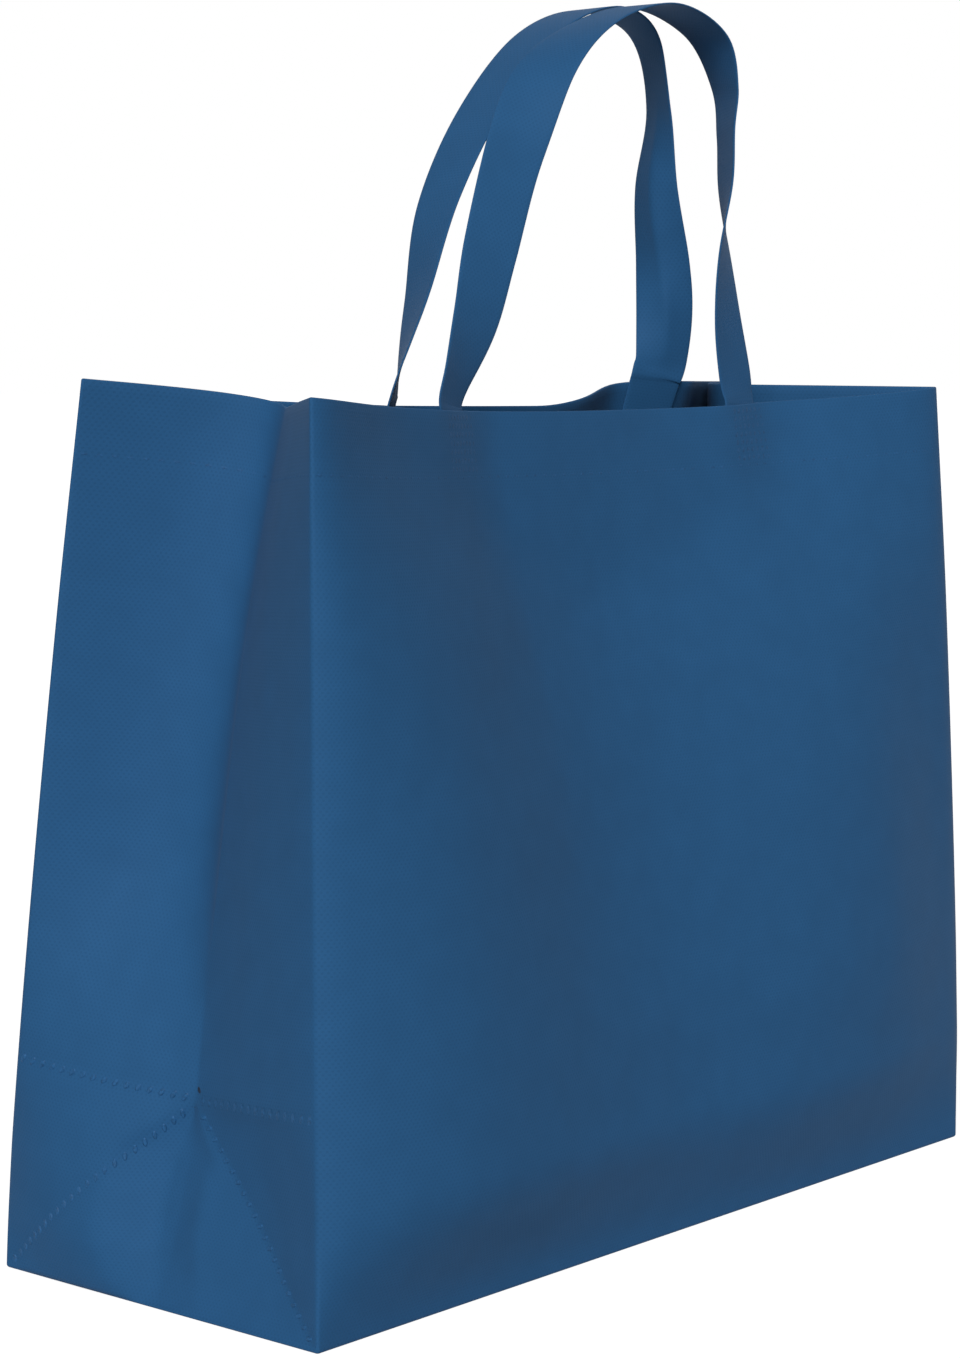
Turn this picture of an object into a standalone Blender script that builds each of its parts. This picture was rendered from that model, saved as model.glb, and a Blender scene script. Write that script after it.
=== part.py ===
"""A carrier bag of nonwoven sheet: a folded and welded body with side gussets, and two strap handles.

The front panel faces -Y, the gussets face -X and +X, and the bag stands on Z = 0. Units are metres.
"""

from math import atan2, cos, degrees, pi, radians, sin

import bmesh
import bpy
from mathutils import Vector

# Overall size of the bag, opened and standing
WIDTH = 0.450
DEPTH = 0.180
HEIGHT = 0.365

# Sheet and hem
SHEET = 0.0005
HEM_DEPTH = 0.029
HEM_GAP = 0.0003

# Handles
STRAP_WIDTH = 0.026
STRAP_THICKNESS = 0.0008
STRAP_SPACING = 0.204
STRAP_OVERLAP = 0.026
STRAP_GAP = 0.0006
STRAP_STRAIGHT = 0.004
HANDLE_RISE = 0.1662
CROWN_GAP = 0.001
CROWN_MIDDLE = -0.023

# How the standing bag gives: distances that its corners and rims move from the upright box
FRONT_LEFT_LEAN = 0.0036
FRONT_RIGHT_LEAN = 0.018
BACK_LEFT_LEAN = 0.054
BACK_RIGHT_LEAN = 0.040
LEAN_CURVE = 1.22
CORNER_INSET = 0.0024
CORNER_RISE = {(-1, -1): -0.0027, (1, -1): -0.0012, (-1, 1): 0.004, (1, 1): 0.001}
FRONT_BOW = 0.0363
BACK_BOW = 0.0546
FRONT_SAG = 0.0085
BACK_SAG = 0.0145
FRONT_SWELL = 0.014
BACK_SWELL = 0.010

# The same shapes' proportions: where each starts, ends or turns, as shares of half the width or of the height
BOW_FLAT_SHARE = 0.3
BOW_SKEW_SHARE = 0.1
BOW_ACROSS_POWER = 1.25
BOW_UP_POWER = 1.9
FRONT_SAG_POWER = 2.2
BACK_SAG_POWER = 4.0
BACK_SAG_END_SHARE = 0.45
SWELL_TOP_SHARE = -0.73
SWELL_HOLLOW_SHARE = -0.11
SWELL_HOLLOW_DEPTH_SHARE = 0.9
SWELL_UP_POWER = 1.1

# How steeply each handle foot turns the rim, out of the panel's line, and how far that reaches either side
FOOT_SLOPE = {(-1, -1): 0.20, (1, -1): 0.35, (-1, 1): 0.80, (1, 1): -0.80}
FOOT_REACH = 0.0285
FOOT_UP_POWER = 3.0

# How far a gusset's valley folds in: at the weld that crosses it, and at the rim
WELD_FOLD = 0.0195
RIM_FOLD = 0.058
WELD_DROP = 0.0085
RIM_DROP = {-1: 0.0085, 1: 0.0}
VALLEY_SHIFT = 0.006
VALLEY_BEND = 0.011
LOW_CREASE = 0.004
GUSSET_SWELL = 0.006
RIM_FOLD_POWER = 1.1
VALLEY_BEND_POWER = 1.4

# Mesh density: columns between places across a panel, closer beside the folds and the handles' feet
PANEL_STRETCHES = ((-1.0, -0.64, 5), (-0.64, -0.28, 8), (-0.28, 0.28, 5), (0.28, 0.64, 8), (0.64, 1.0, 5))
PANEL_COLUMNS = sum(columns for start, end, columns in PANEL_STRETCHES)
GUSSET_COLUMNS = 5
WALL_ROWS = 8
HEM_ROWS = 2
TURN_STEPS = 4
STRAP_COLUMNS = 4
STRAP_STEPS = 56
TANGENT_STEPS = 2
FOOT_STEPS = 3
SHARP_MITRE = 0.3
SHARP_ANGLE = 35.0
THICKNESS_CLAMP = 2.0

FRONT, BACK = -1, 1
LEFT, RIGHT = -1, 1

# Stations of each handle between its feet: where it runs across the bag as a share of half the spacing,
# how high as a share of the rise, and which way its width points, in degrees from +X
FRONT_STATIONS = (
    (-0.95, 0.08, 21),
    (-0.82, 0.22, 6),
    (-0.70, 0.38, -6),
    (-0.485, 0.62, -18),
    (-0.25, 0.82, -60),
    (0.09, 0.945, -88),
    (0.49, 1.00, -90),
    (0.85, 0.943, -106),
    (0.98, 0.815, -120),
    (0.96, 0.56, -131),
    (0.935, 0.38, -150),
    (0.95, 0.22, -165),
    (0.99, 0.08, -173),
)
BACK_STATIONS = (
    (-0.97, 0.07, 210),
    (-0.91, 0.15, 223),
    (-0.80, 0.27, 239),
    (-0.635, 0.49, 259),
    (-0.385, 0.72, 270),
    (0.01, 0.92, 270),
    (0.42, 1.00, 264),
    (0.74, 0.94, 242),
    (0.88, 0.75, 236),
    (0.92, 0.54, 268),
    (0.98, 0.34, 300),
    (1.00, 0.20, 314),
    (1.00, 0.07, 328),
)


def smooth(share):
    """A step from 0 to 1 that starts and ends level."""
    share = min(max(share, 0.0), 1.0)
    return share * share * (3.0 - 2.0 * share)


def corner(side_x, side_y, height):
    """The upright fold between a panel and a gusset, at a height up the sheet."""
    share = height / HEIGHT
    lean = {
        (LEFT, FRONT): FRONT_LEFT_LEAN,
        (RIGHT, FRONT): FRONT_RIGHT_LEAN,
        (LEFT, BACK): BACK_LEFT_LEAN,
        (RIGHT, BACK): BACK_RIGHT_LEAN,
    }[side_x, side_y]
    x = side_x * (WIDTH / 2 - SHEET / 2 - CORNER_INSET * share)
    y = side_y * (DEPTH / 2 - SHEET / 2 - lean * share**LEAN_CURVE)
    return Vector((x, y, height + CORNER_RISE[side_x, side_y] * share**2))


def swell(across, share):
    """The two soft bulges of a panel, 0 to 1, either side of the hollow that the handles pull in."""
    wave = cos(pi * (across - SWELL_TOP_SHARE) / (SWELL_HOLLOW_SHARE - SWELL_TOP_SHARE))
    bulges = 1.0 - SWELL_HOLLOW_DEPTH_SHARE * (1.0 - wave) / 2
    return bulges * (1.0 - across**8) * sin(pi * share) ** SWELL_UP_POWER


def foot_wave(side_y, across, share):
    """How far the handles' feet swing the sheet along Y: straight across each foot, and dying out beside it."""
    total = 0.0
    for side_x in (LEFT, RIGHT):
        aside = across * WIDTH / 2 - side_x * STRAP_SPACING / 2
        fade = 1.0 + (aside / FOOT_REACH) ** 6
        total += FOOT_SLOPE[side_x, side_y] * aside / fade
    return total * share**FOOT_UP_POWER


def panel(side_y, across, height):
    """A point of the front or back panel: across runs from -1 at the left to 1 at the right."""
    share = height / HEIGHT
    left, right = corner(LEFT, side_y, height), corner(RIGHT, side_y, height)
    point = left.lerp(right, (across + 1) / 2)
    bow = FRONT_BOW if side_y == FRONT else BACK_BOW
    sag = FRONT_SAG if side_y == FRONT else BACK_SAG
    bulge = FRONT_SWELL if side_y == FRONT else BACK_SWELL
    outer = max(0.0, (abs(across) - BOW_FLAT_SHARE) / (1.0 - BOW_FLAT_SHARE))
    inward = bow * (1.0 - outer**BOW_ACROSS_POWER) * (1.0 - BOW_SKEW_SHARE * across) * share**BOW_UP_POWER
    point.y += side_y * (bulge * swell(across, share) - inward) + foot_wave(side_y, across, share)
    if side_y == FRONT:
        slack = 1.0 - abs(across) ** FRONT_SAG_POWER
    else:
        slack = (1.0 - across**BACK_SAG_POWER) * (1.0 - smooth(across / BACK_SAG_END_SHARE))
    point.z -= sag * slack * share**3
    return point


def gusset(side_x, across, height):
    """A point of a side gusset: across runs from -1 at the front fold to 1 at the back fold, 0 in the valley."""
    front, back = corner(side_x, FRONT, height), corner(side_x, BACK, height)
    weld = DEPTH / 2
    low = min((height - SHEET / 2) / (weld - SHEET / 2), 1.0)
    high = max(0.0, (height - weld) / (HEIGHT - weld))
    aside = abs(across)
    point = ((front + back) / 2).lerp(front if across < 0 else back, aside)
    if low < 1.0:
        tuck = min(low, 1.0 - aside)
        crease = max(0.0, 1.0 - aside / (1.0 - low)) * sin(pi * low)
        point.x -= side_x * (WELD_FOLD * tuck + LOW_CREASE * crease)
        point.z -= WELD_DROP * tuck
    else:
        tuck = 1.0 - aside
        deep = WELD_FOLD + (RIM_FOLD - WELD_FOLD) * high**RIM_FOLD_POWER
        swelling = sin(pi * aside) * sin(pi * high) ** 0.5
        point.x -= side_x * (deep * tuck - GUSSET_SWELL * swelling)
        point.y += (VALLEY_SHIFT * high + VALLEY_BEND * sin(pi * high**VALLEY_BEND_POWER)) * tuck
        point.z -= (WELD_DROP * (1.0 - high) + RIM_DROP[side_x] * high) * tuck
    return point


def spread():
    """Places of the columns across a panel, all but the last one."""
    for start, end, columns in PANEL_STRETCHES:
        yield from (start + (end - start) * index / columns for index in range(columns))


def ring(height):
    """The bag's closed outline at one height, run round from the front panel's left fold."""
    points = [panel(FRONT, across, height) for across in spread()]
    halves = [index / GUSSET_COLUMNS for index in range(-GUSSET_COLUMNS, GUSSET_COLUMNS)]
    points += [gusset(RIGHT, across, height) for across in halves]
    points += [panel(BACK, -across, height) for across in spread()]
    points += [gusset(LEFT, -across, height) for across in halves]
    return points


def inset(points, distance):
    """The same outline moved inward by a distance, measured square to each wall."""
    moved = []
    count = len(points)
    for index, point in enumerate(points):
        before = (point - points[index - 1]).xy.normalized()
        after = (points[(index + 1) % count] - point).xy.normalized()
        square = Vector((-before.y - after.y, before.x + after.x)).normalized()
        reach = distance / max(SHARP_MITRE, square.dot(Vector((-before.y, before.x))))
        moved.append(point + Vector((square.x, square.y, 0.0)) * reach)
    return moved


def wall_heights():
    """Heights of the outline's rows: the end triangle, the wall above it, and the hem."""
    weld = DEPTH / 2
    hem = HEIGHT - HEM_DEPTH
    rows = [SHEET / 2 + (weld - SHEET / 2) * index / GUSSET_COLUMNS for index in range(GUSSET_COLUMNS)]
    rows += [weld + (hem - weld) * index / WALL_ROWS for index in range(WALL_ROWS)]
    return rows


def hem_rows():
    """Rows of the rim: up the outside, over the turned edge, and down the inside."""
    turn = (SHEET + HEM_GAP) / 2
    hem, top = HEIGHT - HEM_DEPTH, HEIGHT - SHEET / 2 - turn
    rows = [(hem + (top - hem) * index / HEM_ROWS, 0.0, 0.0) for index in range(HEM_ROWS)]
    for index in range(TURN_STEPS + 1):
        angle = pi * index / TURN_STEPS
        rows.append((top, turn * sin(angle), turn * (1.0 - cos(angle))))
    down = [(hem + (top - hem) * (1 - index / HEM_ROWS), 0.0, 2 * turn) for index in range(1, HEM_ROWS + 1)]
    return rows + down


def body_rows():
    """Every outline of the body from the base up and over into the hem."""
    rows = [ring(height) for height in wall_heights()]
    for height, lift, distance in hem_rows():
        points = inset(ring(height), distance) if distance else ring(height)
        rows.append([point + Vector((0.0, 0.0, lift)) for point in points])
    return rows


def add_wall(mesh, rows):
    """Faces between the outlines. Those of an end triangle are split along its diagonal folds."""
    made = [[mesh.verts.new(point) for point in row] for row in rows]
    count = len(made[0])
    right_end = range(PANEL_COLUMNS, PANEL_COLUMNS + 2 * GUSSET_COLUMNS)
    left_end = range(count - 2 * GUSSET_COLUMNS, count)
    for level, (low, high) in enumerate(zip(made, made[1:])):
        for index in range(count):
            after = (index + 1) % count
            corners = (low[index], low[after], high[after], high[index])
            end = right_end if index in right_end else left_end if index in left_end else None
            if end is None or level >= GUSSET_COLUMNS:
                mesh.faces.new(corners)
            elif index - end.start < GUSSET_COLUMNS:
                mesh.faces.new(corners[:3])
                mesh.faces.new((corners[0], corners[2], corners[3]))
            else:
                mesh.faces.new((corners[0], corners[1], corners[3]))
                mesh.faces.new(corners[1:])
    return made[0]


def add_base(mesh, edge):
    """The flat bottom panel, a grid that shares the lowest outline's points."""
    columns, rows = PANEL_COLUMNS, 2 * GUSSET_COLUMNS
    front = edge[: columns + 1]
    right = edge[columns : columns + rows + 1]
    back = edge[columns + rows : 2 * columns + rows + 1][::-1]
    left = (edge[2 * columns + rows :] + edge[:1])[::-1]
    grid = [front]
    for row in range(1, rows):
        inner = [
            mesh.verts.new((front[column].co.x, left[row].co.y, front[column].co.z))
            for column in range(1, columns)
        ]
        grid.append([left[row], *inner, right[row]])
    grid.append(back)
    for low, high in zip(grid, grid[1:]):
        for column in range(columns):
            mesh.faces.new((low[column], high[column], high[column + 1], low[column + 1]))


def finish(mesh, name, thickness, even, material, collection):
    """One object from an open surface, given the sheet's thickness on both sides of it."""
    data = bpy.data.meshes.new(name)
    mesh.to_mesh(data)
    mesh.free()
    data.materials.append(material)
    data.shade_smooth()
    data.set_sharp_from_angle(angle=radians(SHARP_ANGLE))
    piece = bpy.data.objects.new(name, data)
    collection.objects.link(piece)
    wall = piece.modifiers.new("sheet thickness", "SOLIDIFY")
    wall.thickness = thickness
    wall.offset = 0.0
    wall.use_even_offset = even
    wall.use_rim = True
    wall.thickness_clamp = THICKNESS_CLAMP
    return piece


def make_body(material, collection):
    """The bag: base, four walls with folded gussets, and the hem turned in round the mouth."""
    mesh = bmesh.new()
    add_base(mesh, add_wall(mesh, body_rows()))
    return finish(mesh, "bag_body", SHEET, True, material, collection)


def foot_keys(side_y, side_x):
    """A handle's foot, flat against the hem's inner face, from its end up: centre, turn and dip of its width."""
    across = side_x * STRAP_SPACING / WIDTH
    reach = STRAP_WIDTH / WIDTH
    depth = SHEET / 2 + HEM_GAP + SHEET + STRAP_GAP + STRAP_THICKNESS / 2
    keys = []
    for index in range(FOOT_STEPS + 1):
        height = HEIGHT - STRAP_OVERLAP * (1 - index / FOOT_STEPS)
        along = panel(side_y, across + reach, height) - panel(side_y, across - reach, height)
        up = panel(side_y, across, height) - panel(side_y, across, height - STRAP_WIDTH)
        inward = along.cross(up).normalized() * side_y
        centre = panel(side_y, across, height) + inward * depth
        keys.append((centre, Vector((degrees(atan2(along.y, along.x)), degrees(atan2(along.z, along.x))))))
    rim, aim = keys[-1]
    return [*keys, (rim + up.normalized() * STRAP_STRAIGHT, aim)]


def through(before, start, end, after, share):
    """A value on the smooth curve that passes through start and end."""
    return 0.5 * (
        2 * start
        + (end - before) * share
        + (2 * before - 5 * start + 4 * end - after) * share**2
        + (3 * start - before - 3 * end + after) * share**3
    )


def handle_keys(side_y, stations):
    """Every key of a handle, from the end of its left foot to the end of its right one."""
    left, right = foot_keys(side_y, LEFT), foot_keys(side_y, RIGHT)
    crown = CROWN_MIDDLE + side_y * (STRAP_WIDTH + CROWN_GAP) / 2
    top, half = HEIGHT + HANDLE_RISE, STRAP_SPACING / 2
    first, last = (0.0, -180.0) if side_y == FRONT else (180.0, 360.0)
    highest = max(range(len(stations)), key=lambda index: stations[index][1])
    between = []
    for index, (across, up, turn) in enumerate(stations):
        foot = left[-2][0] if index <= highest else right[-2][0]
        y = foot.y + (crown - foot.y) * smooth(up)
        centre = Vector((across * half, y, foot.z + (top - foot.z) * up))
        between.append((centre, Vector((turn, 0.0))))
    start = [(centre, Vector((first + aim.x, aim.y))) for centre, aim in left]
    finish_keys = [(centre, Vector((last + aim.x, -aim.y))) for centre, aim in reversed(right)]
    return [*start, *between, *finish_keys]


def handle_path(side_y, stations):
    """Centre and width direction at even steps along a handle."""
    keys = handle_keys(side_y, stations)
    spans = len(keys) - 1
    path = []
    for step in range(STRAP_STEPS + 1):
        place = step * spans / STRAP_STEPS
        span = min(int(place), spans - 1)
        near = [keys[min(max(index, 0), spans)] for index in range(span - 1, span + 3)]
        centre = through(*[key[0] for key in near], place - span)
        turn, dip = through(*[key[1] for key in near], place - span)
        path.append((centre, Vector((cos(radians(turn)), sin(radians(turn)), sin(radians(dip))))))
    return path


def make_handle(side_y, stations, name, material, collection):
    """A flat strap, turned on its way up so that it lies level at its crown."""
    path = handle_path(side_y, stations)
    mesh = bmesh.new()
    rows = []
    for index, (centre, wide) in enumerate(path):
        after, before = min(index + TANGENT_STEPS, STRAP_STEPS), max(index - TANGENT_STEPS, 0)
        along = path[after][0] - path[before][0]
        along.normalize()
        wide = (wide - along * wide.dot(along)).normalized() * STRAP_WIDTH
        row = [centre + wide * (column / STRAP_COLUMNS - 0.5) for column in range(STRAP_COLUMNS + 1)]
        rows.append([mesh.verts.new(point) for point in row])
    for low, high in zip(rows, rows[1:]):
        for column in range(STRAP_COLUMNS):
            mesh.faces.new((low[column], low[column + 1], high[column + 1], high[column]))
    return finish(mesh, name, STRAP_THICKNESS, False, material, collection)


def sheet_material(name, colour):
    """Coloured polypropylene sheet: dull, with a little fuzz."""
    material = bpy.data.materials.new(name)
    material.use_nodes = True
    shader = material.node_tree.nodes["Principled BSDF"]
    shader.inputs["Base Color"].default_value = (*colour, 1.0)
    shader.inputs["Roughness"].default_value = 0.72
    shader.inputs["Metallic"].default_value = 0.0
    return material


for old in list(bpy.data.objects):
    bpy.data.objects.remove(old, do_unlink=True)

BLUE = (0.022, 0.098, 0.235)
bag = bpy.data.collections.new("carrier_bag")
bpy.context.scene.collection.children.link(bag)
make_body(sheet_material("body sheet", BLUE), bag)
make_handle(FRONT, FRONT_STATIONS, "front_handle", sheet_material("front strap", BLUE), bag)
make_handle(BACK, BACK_STATIONS, "back_handle", sheet_material("back strap", BLUE), bag)
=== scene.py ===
"""Looks of a carrier bag of blue nonwoven sheet: a welded body with side gussets, and two strap handles."""

from math import atan2, cos, degrees, exp, pi, radians, sin

import bmesh
import bpy
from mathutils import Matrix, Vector, noise


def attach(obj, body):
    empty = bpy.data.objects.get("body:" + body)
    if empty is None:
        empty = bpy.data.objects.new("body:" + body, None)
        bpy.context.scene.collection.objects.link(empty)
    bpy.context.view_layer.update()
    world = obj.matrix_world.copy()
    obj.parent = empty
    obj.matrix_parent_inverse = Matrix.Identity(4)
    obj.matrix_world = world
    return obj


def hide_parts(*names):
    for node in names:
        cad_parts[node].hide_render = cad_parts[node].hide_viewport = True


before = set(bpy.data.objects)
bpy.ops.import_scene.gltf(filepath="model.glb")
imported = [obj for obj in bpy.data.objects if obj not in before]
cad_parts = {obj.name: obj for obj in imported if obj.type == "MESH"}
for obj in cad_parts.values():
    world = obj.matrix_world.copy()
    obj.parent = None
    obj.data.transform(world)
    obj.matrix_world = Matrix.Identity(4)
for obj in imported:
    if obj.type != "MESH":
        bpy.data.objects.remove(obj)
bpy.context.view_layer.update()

# Bag body
# One piece of spunbonded polypropylene about half a millimetre thick, folded to a base, two panels and two
# side gussets. Its folds are pressed in, and the rim is turned inward and welded down as a hem.
FRONT, BACK = -1, 1
LEFT, RIGHT = -1, 1
WIDTH = 0.450
DEPTH = 0.180
HEIGHT = 0.365
SHEET = 0.0005
HEM_DEPTH = 0.029
HEM_GAP = 0.0003
FOLD_RADIUS = 0.0014
BAG_BLUE = (0.018, 0.085, 0.203)

# The upright folds lean inward towards the rim, and end a little above or below its height
LEAN = {(LEFT, FRONT): 0.0036, (RIGHT, FRONT): 0.0160, (LEFT, BACK): 0.050, (RIGHT, BACK): 0.040}
LEAN_POWER = {(LEFT, FRONT): 1.22, (RIGHT, FRONT): 1.6, (LEFT, BACK): 1.22, (RIGHT, BACK): 1.22}
CORNER_RISE = {(LEFT, FRONT): -0.0027, (RIGHT, FRONT): -0.0012, (LEFT, BACK): 0.004, (RIGHT, BACK): 0.001}
CORNER_INSET = 0.0024

# The panels bow inward towards the mouth, hollow softly from top to bottom, and pinch in just above the base
BOW = {FRONT: 0.0363, BACK: 0.0546}
BOW_FLAT_SHARE = 0.3
BOW_SKEW_SHARE = 0.1
BOW_ACROSS_POWER = 1.25
BOW_UP_POWER = 1.9
SAG = {FRONT: 0.0085, BACK: 0.0112}
FRONT_SAG_POWER = 2.2
BACK_SAG_POWER = 4.0
BACK_SAG_END_SHARE = 0.45
HOLLOW = {FRONT: 0.0175, BACK: 0.014}
HOLLOW_EDGE_SHARE = -0.76
HOLLOW_SHARE = -0.11
HOLLOW_UP_POWER = 1.1
HELD_EDGE_POWER = 8
BASE_PINCH = 0.0042
BASE_PINCH_HEIGHT = 0.110
BASE_PINCH_START = -0.95
BASE_PINCH_FULL = -0.05

# The handles' feet turn the rim where they are welded to it
STRAP_SPACING = 0.204
FOOT_SHIFT = {(LEFT, FRONT): 0.003, (RIGHT, FRONT): 0.002, (LEFT, BACK): 0.005, (RIGHT, BACK): -0.0035}
FOOT_SLOPE = {(LEFT, FRONT): 0.20, (RIGHT, FRONT): 0.35, (LEFT, BACK): 1.12, (RIGHT, BACK): -0.90}
FOOT_UP_POWER = {FRONT: 8.0, BACK: 3.0}
FOOT_REACH = 0.034

# The sheet bends over beside the upright folds: a tight bend, and a wide one that opens towards the base
BEND_FULL_SHARE = 0.16
TIGHT_SLOPE = 0.85
TIGHT_REACH = 0.006
TIGHT_RIM_LOSS = 0.5
WIDE_SLOPE = {LEFT: 0.50, RIGHT: 0.42}
WIDE_SHARE = {FRONT: 1.0, BACK: 0.86}
WIDE_REACH_RIM = 0.020
WIDE_REACH_BASE = 0.054
WIDE_REACH_POWER = 0.8
RIM_SPAN = 0.095
RIM_SPAN_START = 0.5
RIM_KEPT = {FRONT: 0.3, BACK: 0.0}
RIM_FADE_START = 0.72

# The end triangles are welded flat to the gusset at their apex, and crease from there down to the base
APEX_FOLD = 0.0195
APEX_DROP = 0.0085
END_CREASE = 0.0075
END_CREASE_SHIFT = 0.12
END_CREASE_REACH = 0.26
END_CREASE_POWER = 0.7
END_SWELL = {FRONT: -0.005, BACK: 0.009}
END_SWELL_POWER = 0.6

# The gussets fold inward above the triangles, with a soft trough behind the crease
RIM_FOLD = 0.058
RIM_FOLD_POWER = 1.1
RIM_DROP = {LEFT: 0.0085, RIGHT: 0.0}
CREASE_SHIFT = 0.006
CREASE_BEND = 0.004
CREASE_BEND_POWER = 1.4
CREASE_PINCH = 0.004
CREASE_PINCH_REACH = 0.009
CREASE_PINCH_END = 0.6
TROUGH = 0.105
TROUGH_POWER = 1.15
GUSSET_OPEN_SHARE = 0.35
GUSSET_SWELL = {FRONT: 0.002, BACK: 0.001}
GUSSET_SWELL_FADE_START = 0.5
GUSSET_SWELL_RIM_SHARE = 0.45
GUSSET_BEND_SLOPE = {FRONT: 0.16, BACK: 0.22}
GUSSET_BEND_REACH = {FRONT: 0.012, BACK: 0.016}
GUSSET_BEND_FULL_HEIGHT = 0.03
GUSSET_BEND_FADE_START = 0.8

# The whole sheet is slightly uneven, in slow waves and quicker ones
SLOW_RIPPLE = 0.0010
SLOW_RIPPLE_SCALE = Vector((16.0, 16.0, 9.0))
QUICK_RIPPLE = 0.0003
QUICK_RIPPLE_SCALE = Vector((45.0, 45.0, 30.0))
QUICK_RIPPLE_START = Vector((0.0, 0.0, 7.0))
RIPPLE_UP_POWER = 0.7

PANEL_COLUMNS = 84
GUSSET_COLUMNS = 28
WALL_ROWS = 54
HEM_ROWS = 8
TURN_STEPS = 6
BASE_STEPS = 4
FOLD_STEPS = 4
MITRE_LIMIT = 0.5


def smooth(value, start=0.0, end=1.0):
    """A step from 0 at start to 1 at end that starts and ends level."""
    share = min(max((value - start) / (end - start), 0.0), 1.0)
    return share * share * (3.0 - 2.0 * share)


def corner(side_x, side_y, height):
    """The upright fold between a panel and a gusset, at a height up the sheet."""
    share = height / HEIGHT
    side = side_x, side_y
    x = side_x * (WIDTH / 2 - SHEET / 2 - CORNER_INSET * share)
    y = side_y * (DEPTH / 2 - SHEET / 2 - LEAN[side] * share ** LEAN_POWER[side])
    return Vector((x, y, height + CORNER_RISE[side] * share**2))


def hollow(across, share):
    """The upright hollows of a panel: 0 at its high places, and 1 in the deepest ones."""
    wave = cos(pi * (across - HOLLOW_EDGE_SHARE) / (HOLLOW_SHARE - HOLLOW_EDGE_SHARE))
    return (1.0 - wave) / 2 * (1.0 - across**HELD_EDGE_POWER) * sin(pi * share) ** HOLLOW_UP_POWER


def foot_place(side_x, side_y):
    """Where a handle's foot lies across its panel, from -1 to 1."""
    return (side_x * STRAP_SPACING / 2 + FOOT_SHIFT[side_x, side_y]) / (WIDTH / 2)


def foot_wave(side_y, across, share):
    """How far the handles' feet swing the sheet along Y: straight across each foot, dying out beside it."""
    total = 0.0
    for side_x in (LEFT, RIGHT):
        aside = (across - foot_place(side_x, side_y)) * WIDTH / 2
        total += FOOT_SLOPE[side_x, side_y] * aside * exp(-((aside / FOOT_REACH) ** 2))
    return total * share ** FOOT_UP_POWER[side_y]


def bend(distance, slope, reach):
    """How far a sheet stands out at a distance from a fold that it leaves at a slope, curving flat again."""
    return slope * reach * (1.0 - exp(-distance / reach))


def fold_bend(side_y, across, share):
    """How far a panel stands out beside its two upright folds."""
    reach = WIDE_REACH_RIM + (WIDE_REACH_BASE - WIDE_REACH_RIM) * (1.0 - share) ** WIDE_REACH_POWER
    span = WIDTH + (RIM_SPAN - WIDTH) * smooth(share, RIM_SPAN_START)
    kept = 1.0 - (1.0 - RIM_KEPT[side_y]) * smooth(share, RIM_FADE_START)
    total = 0.0
    for side_x in (LEFT, RIGHT):
        distance = WIDTH / 2 * (1.0 - side_x * across)
        wide = bend(distance, WIDE_SLOPE[side_x], reach) * WIDE_SHARE[side_y] * kept
        tight = bend(distance, TIGHT_SLOPE, TIGHT_REACH) * (1.0 - TIGHT_RIM_LOSS * (1.0 - kept))
        total += (tight + wide) * (1.0 - smooth(distance, 0.0, span))
    return total * smooth(share, 0.0, BEND_FULL_SHARE)


def ripple(point, share):
    """The sheet's slight unevenness, none at the base and the rim."""
    slow = SLOW_RIPPLE * noise.noise(point * SLOW_RIPPLE_SCALE)
    quick = QUICK_RIPPLE * noise.noise(point * QUICK_RIPPLE_SCALE + QUICK_RIPPLE_START)
    return (slow + quick) * sin(pi * share) ** RIPPLE_UP_POWER


def panel(side_y, across, height):
    """A point of the front or back panel: across runs from -1 at the left to 1 at the right."""
    share = height / HEIGHT
    point = corner(LEFT, side_y, height).lerp(corner(RIGHT, side_y, height), (across + 1) / 2)
    outer = max(0.0, (abs(across) - BOW_FLAT_SHARE) / (1.0 - BOW_FLAT_SHARE))
    bow = BOW[side_y] * (1.0 - outer**BOW_ACROSS_POWER) * (1.0 - BOW_SKEW_SHARE * across)
    bow *= share**BOW_UP_POWER
    pinch = BASE_PINCH * sin(pi * min(height / BASE_PINCH_HEIGHT, 1.0)) ** 2
    pinch *= (1.0 - across**HELD_EDGE_POWER) * smooth(across, BASE_PINCH_START, BASE_PINCH_FULL)
    outward = fold_bend(side_y, across, share) - HOLLOW[side_y] * hollow(across, share) - bow - pinch
    outward += ripple(point, share) * (1.0 - across**4)
    point.y += side_y * outward + foot_wave(side_y, across, share)
    if side_y == FRONT:
        slack = 1.0 - abs(across) ** FRONT_SAG_POWER
    else:
        slack = (1.0 - across**BACK_SAG_POWER) * (1.0 - smooth(across, 0.0, BACK_SAG_END_SHARE))
    point.z -= SAG[side_y] * slack * share**3
    return point


def end_triangle(side_y, across, low):
    """How far an end triangle's sheet moves inward and down, at a share of its height."""
    aside = abs(across)
    tuck = min(low, 1.0 - aside)
    arch = sin(pi * low)
    from_crease = abs(across - END_CREASE_SHIFT * arch) / min(END_CREASE_REACH, 1.0 - low)
    crease = END_CREASE * max(0.0, 1.0 - from_crease) * arch**END_CREASE_POWER
    swell = END_SWELL[side_y] * sin(pi * aside) * arch**END_SWELL_POWER
    return APEX_FOLD * tuck + crease - swell, APEX_DROP * tuck


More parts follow.
